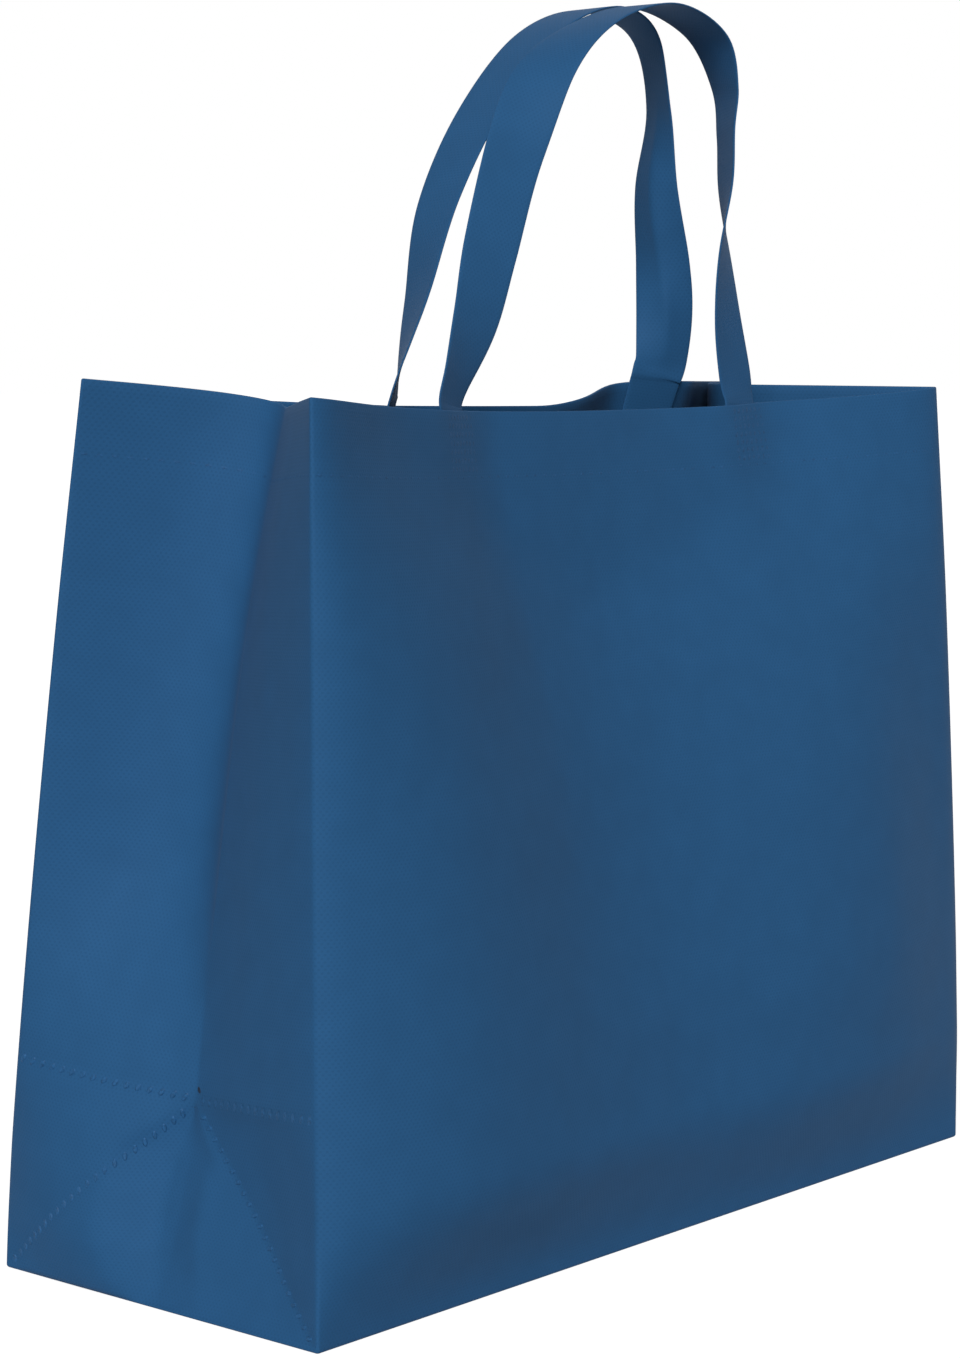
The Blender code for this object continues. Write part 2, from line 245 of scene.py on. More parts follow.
def folded_gusset(side_x, side_y, aside, high):
    """How far a gusset's sheet moves inward, back and down, at a share of its height above the triangle."""
    tuck = 1.0 - aside
    inward = (APEX_FOLD + (RIM_FOLD - APEX_FOLD) * high**RIM_FOLD_POWER) * tuck
    opened = smooth(high, 0.0, GUSSET_OPEN_SHARE)
    faded = 1.0 - (1.0 - GUSSET_SWELL_RIM_SHARE) * smooth(high, GUSSET_SWELL_FADE_START)
    inward -= GUSSET_SWELL[side_y] * sin(pi * aside) * opened * faded
    pinched = smooth(high) * (1.0 - smooth(high, 0.0, CREASE_PINCH_END))
    inward += CREASE_PINCH * pinched * exp(-((aside * DEPTH / 2 / CREASE_PINCH_REACH) ** 2))
    if side_y == BACK:
        inward += TROUGH * opened * aside * tuck**TROUGH_POWER
    back = (CREASE_SHIFT * high + CREASE_BEND * sin(pi * high**CREASE_BEND_POWER)) * tuck
    down = (APEX_DROP * (1.0 - high) + RIM_DROP[side_x] * high) * tuck
    return inward, back, down


def gusset(side_x, across, height):
    """A point of a side gusset: across is -1 at the front fold, 0 at the crease and 1 at the back fold."""
    front, back = corner(side_x, FRONT, height), corner(side_x, BACK, height)
    side_y = FRONT if across < 0 else BACK
    aside = abs(across)
    point = ((front + back) / 2).lerp(front if across < 0 else back, aside)
    apex = DEPTH / 2
    low = (height - SHEET / 2) / (apex - SHEET / 2)
    high = max(0.0, (height - apex) / (HEIGHT - apex))
    if low < 1.0:
        inward, down = end_triangle(side_y, across, low)
    else:
        inward, behind, down = folded_gusset(side_x, side_y, aside, high)
        point.y += behind
    point.x -= side_x * inward
    point.z -= down
    beside = DEPTH / 2 * (1.0 - aside)
    rounded = bend(beside, GUSSET_BEND_SLOPE[side_y], GUSSET_BEND_REACH[side_y]) * smooth(aside, 0.0, 0.5)
    rounded *= smooth(height, 0.0, GUSSET_BEND_FULL_HEIGHT) * (1.0 - smooth(high, GUSSET_BEND_FADE_START))
    point.x += side_x * rounded
    point.x += side_x * ripple(point, height / HEIGHT) * sin(pi * aside)
    return point


def shares(count, length):
    """Places along a straight stretch, from just past one rounded fold to just before the other."""
    start = FOLD_RADIUS / length
    return [start] + [index / count for index in range(1, count)] + [1.0 - start]


def ring(height):
    """The bag's closed outline at one height, from the middle of the front left fold round to it again."""
    wide = shares(PANEL_COLUMNS, WIDTH)
    deep = shares(GUSSET_COLUMNS, DEPTH / 2)
    sides = [
        [panel(FRONT, 2 * share - 1, height) for share in wide],
        [gusset(RIGHT, share - 1, height) for share in deep],
        [gusset(RIGHT, share, height) for share in deep],
        [panel(BACK, 1 - 2 * share, height) for share in wide],
        [gusset(LEFT, 1 - share, height) for share in deep],
        [gusset(LEFT, -share, height) for share in deep],
    ]
    folds = [
        corner(RIGHT, FRONT, height),
        gusset(RIGHT, 0.0, height),
        corner(RIGHT, BACK, height),
        corner(LEFT, BACK, height),
        gusset(LEFT, 0.0, height),
        corner(LEFT, FRONT, height),
    ]
    points = []
    for index, side in enumerate(sides):
        after = sides[(index + 1) % len(sides)][0]
        points += side
        for step in range(1, FOLD_STEPS):
            share = step / FOLD_STEPS
            near, far = side[-1].lerp(folds[index], share), folds[index].lerp(after, share)
            points.append(near.lerp(far, share))
    half_fold = FOLD_STEPS // 2
    return points[-half_fold:] + points[:-half_fold]


def inset(points, distance):
    """The same outline moved inward by a distance, measured square to each wall."""
    moved = []
    for index, point in enumerate(points):
        before = (point - points[index - 1]).xy.normalized()
        after = (points[(index + 1) % len(points)] - point).xy.normalized()
        square = Vector((-before.y - after.y, before.x + after.x)).normalized()
        reach = distance / max(MITRE_LIMIT, square.dot(Vector((-before.y, before.x))))
        moved.append(point + Vector((square.x, square.y, 0.0)) * reach)
    return moved


def body_rows():
    """Every outline from the base's rounded edge up the wall, over the rim and down inside the hem."""
    apex = DEPTH / 2
    turn = (SHEET + HEM_GAP) / 2
    hem, top = HEIGHT - HEM_DEPTH, HEIGHT - SHEET / 2 - turn
    rows = []
    for index in range(BASE_STEPS):
        angle = pi / 2 * index / BASE_STEPS
        rows.append((SHEET / 2, FOLD_RADIUS * (1.0 - cos(angle)), FOLD_RADIUS * (1.0 - sin(angle))))
    rows.append((SHEET / 2 + FOLD_RADIUS, 0.0, 0.0))
    rows += [(apex * index / GUSSET_COLUMNS, 0.0, 0.0) for index in range(1, GUSSET_COLUMNS)]
    rows += [(apex + (hem - apex) * index / WALL_ROWS, 0.0, 0.0) for index in range(WALL_ROWS)]
    rows += [(hem + (top - hem) * index / HEM_ROWS, 0.0, 0.0) for index in range(HEM_ROWS)]
    for index in range(TURN_STEPS + 1):
        angle = pi * index / TURN_STEPS
        rows.append((top, turn * sin(angle), turn * (1.0 - cos(angle))))
    for index in range(1, HEM_ROWS + 1):
        rows.append((hem + (top - hem) * (1.0 - index / HEM_ROWS), 0.0, 2 * turn))
    outlines = []
    for height, lift, distance in rows:
        points = inset(ring(height), distance) if distance else ring(height)
        outlines.append([point + Vector((0.0, 0.0, lift)) for point in points])
    return outlines


def around_sheet():
    """Where each point of an outline lies round the flat sheet, in metres, up to the first point again."""
    places = []
    start = 0.0
    gusset_halves = ((DEPTH / 2, GUSSET_COLUMNS),) * 2
    for length, columns in ((WIDTH, PANEL_COLUMNS), *gusset_halves) * 2:
        places += [start + length * share for share in shares(columns, length)]
        start += length
        places += [start + FOLD_RADIUS * (2 * step / FOLD_STEPS - 1) for step in range(1, FOLD_STEPS)]
    half_fold = FOLD_STEPS // 2
    return [place - start for place in places[-half_fold:]] + places[:-half_fold] + [start]


def make_body():
    """The body as an open surface with a map that follows the sheet, thickened to both sides."""
    mesh = bmesh.new()
    follow = mesh.loops.layers.uv.new("sheet")
    outlines = body_rows()
    count = len(outlines[0])
    made = [[mesh.verts.new(point) for point in outline] for outline in outlines]
    measured = count // 6
    lengths = [0.0]
    for low, high in zip(outlines, outlines[1:]):
        lengths.append(lengths[-1] + (high[measured] - low[measured]).length)
    round_sheet = around_sheet()
    side_wide, side_deep = PANEL_COLUMNS + FOLD_STEPS, 2 * (GUSSET_COLUMNS + FOLD_STEPS) - 1
    apex_row = BASE_STEPS + GUSSET_COLUMNS

    def add(corners, spots):
        face = mesh.faces.new([made[level][place % count] for level, place in corners])
        for loop, spot in zip(face.loops, spots):
            loop[follow].uv = spot

    for level in range(len(made) - 1):
        for place in range(count):
            corners = [(level, place), (level, place + 1), (level + 1, place + 1), (level + 1, place)]
            spots = [(round_sheet[column], lengths[row]) for row, column in corners]
            within = place % (side_wide + side_deep) - side_wide
            if within < 0 or level >= apex_row:
                add(corners, spots)
            elif within < side_deep // 2:
                add(corners[:3], spots[:3])
                add([corners[0], corners[2], corners[3]], [spots[0], spots[2], spots[3]])
            else:
                add([corners[0], corners[1], corners[3]], [spots[0], spots[1], spots[3]])
                add(corners[1:], spots[1:])

    edge = made[0]
    front = edge[: side_wide + 1]
    right = edge[side_wide : side_wide + side_deep + 1]
    back = edge[side_wide + side_deep : 2 * side_wide + side_deep + 1][::-1]
    left = (edge[2 * side_wide + side_deep :] + edge[:1])[::-1]
    grid = [front]
    for row in range(1, side_deep):
        inner = [
            mesh.verts.new((front[column].co.x, left[row].co.y, front[column].co.z))
            for column in range(1, side_wide)
        ]
        grid.append([left[row], *inner, right[row]])
    grid.append(back)
    for low, high in zip(grid, grid[1:]):
        for column in range(side_wide):
            face = mesh.faces.new((low[column], high[column], high[column + 1], low[column + 1]))
            for loop in face.loops:
                loop[follow].uv = (loop.vert.co.x + WIDTH / 2, -loop.vert.co.y - DEPTH / 2)
    data = bpy.data.meshes.new("carrier_bag_body")
    mesh.to_mesh(data)
    mesh.free()
    data.shade_smooth()
    piece = bpy.data.objects.new("carrier_bag_body", data)
    bpy.context.collection.objects.link(piece)
    wall = piece.modifiers.new("sheet thickness", "SOLIDIFY")
    wall.thickness = SHEET
    wall.offset = 0.0
    wall.use_rim = True
    return piece


BOND_PITCH_ACROSS = 0.0019
BOND_PITCH_UP = 0.0014
BOND_NARROWING = 1.35
THREAD_HEIGHT_SHARE = 0.5
BOND_DEPTH_SHARE = 0.8


def nonwoven(name, colour, roughness):
    """Spunbonded polypropylene: a felt of fine threads, pressed together at rows of small bond points."""
    material = bpy.data.materials.new(name)
    material.use_nodes = True
    nodes, links = material.node_tree.nodes, material.node_tree.links
    shader = nodes["Principled BSDF"]
    shader.inputs["Roughness"].default_value = roughness
    shader.inputs["Specular IOR Level"].default_value = 0.10
    shader.inputs["Sheen Weight"].default_value = 0.02
    shader.inputs["Sheen Roughness"].default_value = 0.5

    def reckon(operation, *values):
        node = nodes.new("ShaderNodeMath")
        node.operation = operation
        for socket, value in zip(node.inputs, values):
            if isinstance(value, (int, float)):
                socket.default_value = value
            else:
                links.new(value, socket)
        return node.outputs[0]

    def felt(scale, detail, distortion=0.0):
        texture = nodes.new("ShaderNodeTexNoise")
        texture.inputs["Scale"].default_value = scale
        texture.inputs["Detail"].default_value = detail
        texture.inputs["Distortion"].default_value = distortion
        links.new(place.outputs["UV"], texture.inputs["Vector"])
        return texture.outputs["Fac"]

    def tinted(factor, first, second):
        mix = nodes.new("ShaderNodeMix")
        mix.data_type = "RGBA"
        links.new(factor, mix.inputs["Factor"])
        for socket, given in ((mix.inputs[6], first), (mix.inputs[7], second)):
            if isinstance(given, float):
                socket.default_value = (*[given * part for part in colour], 1.0)
            else:
                links.new(given, socket)
        return mix.outputs[2]

    place = nodes.new("ShaderNodeUVMap")
    place.uv_map = "sheet"
    apart = nodes.new("ShaderNodeSeparateXYZ")
    links.new(place.outputs["UV"], apart.inputs["Vector"])
    across = reckon("MULTIPLY", apart.outputs["X"], 1.0 / BOND_PITCH_ACROSS)
    up = reckon("MULTIPLY", apart.outputs["Y"], 1.0 / BOND_PITCH_UP)
    stagger = reckon("MULTIPLY", reckon("MODULO", reckon("FLOOR", up), 2.0), 0.5)
    cell_x = reckon("SUBTRACT", reckon("FRACT", reckon("ADD", across, stagger)), 0.5)
    cell_y = reckon("SUBTRACT", reckon("FRACT", up), 0.5)
    aside = reckon("POWER", reckon("MULTIPLY", cell_x, BOND_NARROWING), 2.0)
    above = reckon("POWER", cell_y, 2.0)
    bond = nodes.new("ShaderNodeMapRange")
    bond.interpolation_type = "SMOOTHSTEP"
    links.new(reckon("SQRT", reckon("ADD", aside, above)), bond.inputs["Value"])
    bond.inputs["From Min"].default_value = 0.42
    bond.inputs["From Max"].default_value = 0.22
    bonded = bond.outputs["Result"]

    threads = felt(2600.0, 3.0, 2.0)
    thin = tinted(felt(60.0, 5.0), 0.90, 1.10)
    links.new(tinted(reckon("MULTIPLY", bonded, 0.5), thin, 0.82), shader.inputs["Base Color"])

    raised = reckon("MULTIPLY", threads, THREAD_HEIGHT_SHARE)
    sunk = reckon("MULTIPLY", bonded, BOND_DEPTH_SHARE)
    bump = nodes.new("ShaderNodeBump")
    bump.inputs["Strength"].default_value = 0.35
    bump.inputs["Distance"].default_value = 0.00012
    links.new(reckon("SUBTRACT", raised, sunk), bump.inputs["Height"])
    links.new(bump.outputs["Normal"], shader.inputs["Normal"])
    return material


body = make_body()
body.data.materials.append(nonwoven("bag sheet", BAG_BLUE, 0.72))
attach(body, "root")
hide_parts("bag_body")

# Weld lines
# The folds of each end are held by lines of short slanted welds, which a toothed wheel pressed through both
# plies: one line across the gusset at the top of the end triangle, and one along each of its slanting folds.
# A finer line holds the hem down all round. Where a tooth pressed, the threads have melted to a dark glaze.
# Short near-black dashes across each crease at the apex are painted shade, standing in for the deep shade
# where the fold pinches.
WELD_PITCH = 0.0050
WELD_LENGTH = 0.0046
WELD_BREADTH = 0.0023
WELD_PROUD = 0.00048
FAINT_WELD_PROUD = 0.00012
WELD_SLANT = 62.0
WELD_GLAZE = (0.014, 0.080, 0.198)
APEX_HEIGHT = DEPTH / 2
TOP_LINE_LIFT = 0.0006
TOP_LINE_SHARES = (0.96, 0.06)
FOLD_LINE_SHARES = ((0.94, 0.06), (0.07, 0.93))
# Across and height above the apex at each end of the near-black dashes of painted crease shade
CREASE_SHADE_LINE = ((-0.02, 0.0045), (0.01, -0.0030))
HEM_HEIGHT = HEIGHT - HEM_DEPTH
HEM_PANEL_SHARE = 0.985
HEM_GUSSET_SHARES = (0.96, 0.04)
GUSSET_LINE_STEPS = 22
PANEL_LINE_STEPS = 110
CREASE_SHADE_STEPS = 4
FEEL_ACROSS = 0.01
FEEL_UP = 0.002


def glaze_and_shade(name, colour, roughness):
    """Polypropylene threads melted together under a welding tooth, darker than the sheet and a little shiny;
    also used for dark marks of painted shade.
    """
    material = bpy.data.materials.new(name)
    material.use_nodes = True
    nodes, links = material.node_tree.nodes, material.node_tree.links
    shader = nodes["Principled BSDF"]
    shader.inputs["Roughness"].default_value = roughness
    shader.inputs["Specular IOR Level"].default_value = 0.20
    place = nodes.new("ShaderNodeTexCoord")
    patches = nodes.new("ShaderNodeTexNoise")
    patches.inputs["Scale"].default_value = 900.0
    patches.inputs["Detail"].default_value = 2.0
    links.new(place.outputs["Object"], patches.inputs["Vector"])
    shade = nodes.new("ShaderNodeValToRGB")
    for element, position, level in zip(shade.color_ramp.elements, (0.35, 0.65), (0.75, 1.15)):
        element.position = position
        element.color = (*[level * part for part in colour], 1.0)
    links.new(patches.outputs["Fac"], shade.inputs["Fac"])
    links.new(shade.outputs["Color"], shader.inputs["Base Color"])
    bump = nodes.new("ShaderNodeBump")
    bump.inputs["Strength"].default_value = 0.25
    bump.inputs["Distance"].default_value = 0.0001
    links.new(patches.outputs["Fac"], bump.inputs["Height"])
    links.new(bump.outputs["Normal"], shader.inputs["Normal"])
    return material


def weld_tree():
    """Geometry Nodes that set a low pad at every pitch along lines, flat on the sheet, turned by the slant."""
    tree = bpy.data.node_groups.new("weld line", "GeometryNodeTree")
    face = tree.interface
    face.new_socket("Geometry", in_out="INPUT", socket_type="NodeSocketGeometry")
    for name in ("Pitch", "Length", "Breadth", "Proud", "Slant"):
        face.new_socket(name, in_out="INPUT", socket_type="NodeSocketFloat")
    face.new_socket("Material", in_out="INPUT", socket_type="NodeSocketMaterial")
    face.new_socket("Geometry", in_out="OUTPUT", socket_type="NodeSocketGeometry")
    nodes, links = tree.nodes, tree.links
    given, made = nodes.new("NodeGroupInput"), nodes.new("NodeGroupOutput")

    curve = nodes.new("GeometryNodeMeshToCurve")
    links.new(given.outputs["Geometry"], curve.inputs["Mesh"])
    spaced = nodes.new("GeometryNodeResampleCurve")
    spaced.mode = "LENGTH"
    links.new(curve.outputs["Curve"], spaced.inputs["Curve"])
    links.new(given.outputs["Pitch"], spaced.inputs["Length"])

    out = nodes.new("GeometryNodeInputNamedAttribute")
    out.data_type = "FLOAT_VECTOR"
    out.inputs["Name"].default_value = "out"
    upright = nodes.new("FunctionNodeAlignRotationToVector")
    upright.axis = "Z"
    links.new(out.outputs["Attribute"], upright.inputs["Vector"])
    tangent = nodes.new("GeometryNodeInputTangent")
    along = nodes.new("FunctionNodeAlignRotationToVector")
    along.axis = "X"
    along.pivot_axis = "Z"
    links.new(upright.outputs["Rotation"], along.inputs["Rotation"])
    links.new(tangent.outputs["Tangent"], along.inputs["Vector"])
    slant = nodes.new("FunctionNodeAxisAngleToRotation")
    slant.inputs["Axis"].default_value = (0.0, 0.0, 1.0)
    links.new(given.outputs["Slant"], slant.inputs["Angle"])
    turned = nodes.new("FunctionNodeRotateRotation")
    turned.rotation_space = "LOCAL"
    links.new(along.outputs["Rotation"], turned.inputs["Rotation"])
    links.new(slant.outputs["Rotation"], turned.inputs["Rotate By"])

    pad = nodes.new("GeometryNodeMeshCone")
    pad.inputs["Vertices"].default_value = 10
    pad.inputs["Radius Top"].default_value = 0.30
    pad.inputs["Radius Bottom"].default_value = 0.50
    pad.inputs["Depth"].default_value = 1.0
    size = nodes.new("ShaderNodeCombineXYZ")
    links.new(given.outputs["Length"], size.inputs["X"])
    links.new(given.outputs["Breadth"], size.inputs["Y"])
    links.new(given.outputs["Proud"], size.inputs["Z"])
    placed = nodes.new("GeometryNodeInstanceOnPoints")
    links.new(spaced.outputs["Curve"], placed.inputs["Points"])
    links.new(pad.outputs["Mesh"], placed.inputs["Instance"])
    links.new(turned.outputs["Rotation"], placed.inputs["Rotation"])
    links.new(size.outputs["Vector"], placed.inputs["Scale"])
    real = nodes.new("GeometryNodeRealizeInstances")
    links.new(placed.outputs["Instances"], real.inputs["Geometry"])
    painted = nodes.new("GeometryNodeSetMaterial")
    links.new(real.outputs["Geometry"], painted.inputs["Geometry"])
    links.new(given.outputs["Material"], painted.inputs["Material"])
    links.new(painted.outputs["Geometry"], made.inputs["Geometry"])
    return tree


WELD_TREE = weld_tree()


def pads_along_lines(name, lines, material, pitch, length, breadth, proud, slant=0.0):
    """One mesh of pads along lines of points, each point with the direction out of the sheet: welds, and the
    dashes of painted crease shade.
    """
    points, directions, edges = [], [], []
    for line in lines:
        edges += [(len(points) + index, len(points) + index + 1) for index in range(len(line) - 1)]
        points += [point for point, out in line]
        directions += [out for point, out in line]
    data = bpy.data.meshes.new(name + "_lines")
    data.from_pydata(points, edges, [])
    attribute = data.attributes.new("out", "FLOAT_VECTOR", "POINT")
    for item, out in zip(attribute.data, directions):
        item.vector = out
    guide = bpy.data.objects.new(name + "_lines", data)
    bpy.context.collection.objects.link(guide)
    maker = guide.modifiers.new("welds", "NODES")
    maker.node_group = WELD_TREE
    values = {
        "Pitch": pitch,
        "Length": length,
        "Breadth": breadth,
        "Proud": proud,
        "Slant": radians(slant),
        "Material": material,
    }
    for socket in WELD_TREE.interface.items_tree:
        if socket.in_out == "INPUT" and socket.name in values:
            maker[socket.identifier] = values[socket.name]
    found = guide.evaluated_get(bpy.context.evaluated_depsgraph_get())
    welds = bpy.data.meshes.new_from_object(found)
    welds.name = name
    piece = bpy.data.objects.new(name, welds)
    bpy.context.collection.objects.link(piece)
    bpy.data.objects.remove(guide)
    return piece


def on_sheet(place, side, across, height):
    """A point just outside the sheet and the direction out, where place is the function of the sheet."""
    here = place(side, across, height)
    along = place(side, across + FEEL_ACROSS, height) - place(side, across - FEEL_ACROSS, height)
    up = place(side, across, height + FEEL_UP) - place(side, across, height - FEEL_UP)
    out = along.cross(up).normalized()
    away = Vector((side, 0.0, 0.0)) if place is gusset else Vector((0.0, side, 0.0))
    if out.dot(away) < 0:
        out.negate()
    return here + out * (SHEET / 2), out


def straight(place, side, start, end, steps):
    """Points on the sheet from one place to another, each given as (across, height)."""
    line = []
    for step in range(steps + 1):
        share = step / steps
        across = start[0] + (end[0] - start[0]) * share
        height = start[1] + (end[1] - start[1]) * share
        line.append(on_sheet(place, side, across, height))
    return line


end_lines, faint_lines, crease_shade_lines, hem_lines = [], [], [], []
for side_x in (LEFT, RIGHT):
    for half in (FRONT, BACK):
        top_line = [(share * half, APEX_HEIGHT + TOP_LINE_LIFT) for share in TOP_LINE_SHARES]
        chosen = faint_lines if half == FRONT else end_lines
        chosen.append(straight(gusset, side_x, *top_line, GUSSET_LINE_STEPS))
        fold_line = [(share * half, low * APEX_HEIGHT) for share, low in FOLD_LINE_SHARES]
        end_lines.append(straight(gusset, side_x, *fold_line, GUSSET_LINE_STEPS))
    crease_shade_line = [(across, APEX_HEIGHT + lift) for across, lift in CREASE_SHADE_LINE]
    crease_shade_lines.append(straight(gusset, side_x, *crease_shade_line, CREASE_SHADE_STEPS))
for side_y in (FRONT, BACK):
    hem_line = [(share, HEM_HEIGHT) for share in (-HEM_PANEL_SHARE, HEM_PANEL_SHARE)]
    hem_lines.append(straight(panel, side_y, *hem_line, PANEL_LINE_STEPS))
for side_x in (LEFT, RIGHT):
    for half in (FRONT, BACK):
        hem_line = [(share * half, HEM_HEIGHT) for share in HEM_GUSSET_SHARES]
        hem_lines.append(straight(gusset, side_x, *hem_line, GUSSET_LINE_STEPS))

weld_glaze = glaze_and_shade("weld glaze", WELD_GLAZE, 0.6)
tooth = {"pitch": WELD_PITCH, "length": WELD_LENGTH, "breadth": WELD_BREADTH, "slant": WELD_SLANT}
end_welds = pads_along_lines("end_weld_lines", end_lines, weld_glaze, proud=WELD_PROUD, **tooth)
faint_welds = pads_along_lines("faint_weld_lines", faint_lines, weld_glaze, proud=FAINT_WELD_PROUD, **tooth)
# Painted shade: near-black dashes across the crease at the apex, in place of the shade deep in the pinched
# fold
crease_shade_dashes = pads_along_lines(
    "painted_crease_shade",
    crease_shade_lines,
    glaze_and_shade("painted crease shade", (0.004, 0.014, 0.034), 0.5),
    pitch=0.0050,
    length=0.0032,
    breadth=0.0020,
    proud=0.00012,
    slant=70.0,
)
hem_welds = pads_along_lines(
    "hem_weld_line",
    hem_lines,
    glaze_and_shade("hem weld glaze", (0.016, 0.081, 0.201), 0.7),
    pitch=0.0062,
    length=0.0030,
    breadth=0.0010,
    proud=0.00006,
)

# Handle welds
# Each handle's foot is held by a block of small welds, pressed through the panel, the hem and the strap.
# From outside they show as a slightly darker block of dimples below the rim: darker partly from the melted
# glaze and partly as painted shade of the thicker welded layers.
FOOT_WELD_ROWS = 7
FOOT_WELD_HALF = 0.0115
FOOT_WELD_TOP = 0.0030
FOOT_WELD_BOTTOM = 0.0255
FOOT_LINE_STEPS = 12
foot_lines = []
for side_y in (FRONT, BACK):
    for side_x in (LEFT, RIGHT):
        middle = foot_place(side_x, side_y)
        reach = FOOT_WELD_HALF / (WIDTH / 2)
        for row in range(FOOT_WELD_ROWS):
            share = row / (FOOT_WELD_ROWS - 1)
            height = HEIGHT - FOOT_WELD_TOP - (FOOT_WELD_BOTTOM - FOOT_WELD_TOP) * share
            foot_line = [(middle + side * reach, height) for side in (LEFT, RIGHT)]
            foot_lines.append(straight(panel, side_y, *foot_line, FOOT_LINE_STEPS))
foot_welds = pads_along_lines(
    "handle_welds",
    foot_lines,
    # Darker than the sheet: partly melted glaze, partly painted shade of the welded layers
    glaze_and_shade("handle weld glaze and painted shade", (0.015, 0.075, 0.186), 0.65),
    pitch=0.0034,
    length=0.0028,
    breadth=0.0020,
    proud=0.00006,
    slant=45.0,
)
welds_and_crease_shade = [end_welds, faint_welds, crease_shade_dashes, hem_welds, foot_welds]
for welds in welds_and_crease_shade:
    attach(welds, "root")

# Front handle
# A strip of the same sheet folded to two plies and welded flat. Both of its ends are welded to the hem inside
# the front panel, and it turns on its way up so that it lies level where it is carried.
STRAP_WIDTH = 0.026
STRAP_THICKNESS = 0.0008
STRAP_OVERLAP = 0.026
STRAP_GAP = 0.0014
STRAP_STRAIGHT = 0.004
RIM_FLOW = 0.020
HANDLE_RISE = 0.1662
CROWN_GAP = 0.0004
CROWN_MIDDLE = -0.023
FOOT_STEPS = 3
STRAP_COLUMNS = 14
STRAP_STEPS = 280
TANGENT_STEPS = 6
DISH_FADE = 0.09
SHARP_EDGE = 60.0

# Each station: across in half spacings of the straps, share of the rise above the rim, and turn in degrees
FRONT_STATIONS = (
    (-0.925, 0.08, 17),
    (-0.795, 0.22, -3),
    (-0.685, 0.38, -16),
    (-0.487, 0.62, -26),
    (-0.25, 0.82, -60),
    (0.09, 0.945, -88),
    (0.49, 1.00, -90),
    (0.85, 0.943, -101),
    (0.985, 0.815, -117),
    (0.98, 0.70, -126),
    (0.96, 0.56, -130),
    (0.93, 0.38, -155),
    (0.94, 0.22, -170),
    (0.985, 0.08, -176),
)


def foot_keys(side_y, side_x):
    """A handle's foot, flat on the hem's inner face, from its end up: centre, turn and dip of its width."""
    across = foot_place(side_x, side_y)
    reach = STRAP_WIDTH / WIDTH
    depth = SHEET / 2 + HEM_GAP + SHEET + STRAP_GAP + STRAP_THICKNESS / 2
    keys = []
    for index in range(FOOT_STEPS + 1):
        height = HEIGHT - STRAP_OVERLAP * (1 - index / FOOT_STEPS)
        along = panel(side_y, across + reach, height) - panel(side_y, across - reach, height)
        up = panel(side_y, across, height) - panel(side_y, across, height - STRAP_WIDTH)
        inward = along.cross(up).normalized() * side_y
        centre = panel(side_y, across, height) + inward * depth
        keys.append((centre, Vector((degrees(atan2(along.y, along.x)), degrees(atan2(along.z, along.x))))))
    rim, aim = keys[-1]
    return [*keys, (rim + up.normalized() * STRAP_STRAIGHT, aim)]


def through(before, start, end, after, share):
    """A value on the smooth curve that passes through start and end."""
    return 0.5 * (
        2 * start
        + (end - before) * share
        + (2 * before - 5 * start + 4 * end - after) * share**2
        + (3 * start - before - 3 * end + after) * share**3
    )


def handle_keys(side_y, stations):
    """Every key of a handle, from the end of its left foot to the end of its right one."""
    left, right = foot_keys(side_y, LEFT), foot_keys(side_y, RIGHT)
    crown = CROWN_MIDDLE + side_y * (STRAP_WIDTH + CROWN_GAP) / 2
    top, half = HEIGHT + HANDLE_RISE, STRAP_SPACING / 2
    first, last = (0.0, -180.0) if side_y == FRONT else (180.0, 360.0)
    highest = max(range(len(stations)), key=lambda index: stations[index][1])
    between = []
    for index, (across, up, turn) in enumerate(stations):
        leg = left if index <= highest else right
        rim, above = leg[-2][0], leg[-1][0]
        rise = (top - rim.z) * up
        lean = (above - rim) * (rise * exp(-rise / RIM_FLOW) / STRAP_STRAIGHT)
        y = rim.y + (crown - rim.y) * smooth(up)
        between.append((Vector((across * half, y + lean.y, rim.z + rise)), Vector((turn, 0.0))))
    start = [(centre, Vector((first + aim.x, aim.y))) for centre, aim in left]
    end = [(centre, Vector((last + aim.x, -aim.y))) for centre, aim in reversed(right)]
    return [*start, *between, *end]


def handle_path(side_y, stations):
    """Centre and width direction at even steps along a handle."""
    keys = handle_keys(side_y, stations)
    spans = len(keys) - 1
    path = []
    for step in range(STRAP_STEPS + 1):
        place = step * spans / STRAP_STEPS
        span = min(int(place), spans - 1)
        near = [keys[min(max(index, 0), spans)] for index in range(span - 1, span + 3)]
        centre = through(*[key[0] for key in near], place - span)
        turn, dip = through(*[key[1] for key in near], place - span)
        path.append((centre, Vector((cos(radians(turn)), sin(radians(turn)), sin(radians(dip))))))
    return path


def strap_section():
    """The strap's section, once round: across the width, out to each face, and round the folded edges."""
    flat = [2 * index / STRAP_COLUMNS - 1 for index in range(STRAP_COLUMNS + 1)]
    edge = STRAP_THICKNESS / STRAP_WIDTH
    over = [(share * (1 - edge), 1.0) for share in flat]
    under = [(-share * (1 - edge), -1.0) for share in flat]
    turned = [(1 - edge + edge * sin(angle), cos(angle)) for angle in (pi / 4, pi / 2, 3 * pi / 4)]
    return over + turned + under + [(-share, -side) for share, side in turned]


def dish_depth(dishes, share, across):
    """How far the strap stands off its plane where it bends about a ridge along it."""
    total = 0.0
    for start, end, ridge, depth in dishes:
        inside = smooth(share, start, start + DISH_FADE) * (1.0 - smooth(share, end - DISH_FADE, end))
        total += depth * inside * (1.0 - abs(across - ridge) / (1.0 + abs(ridge)))
    return total


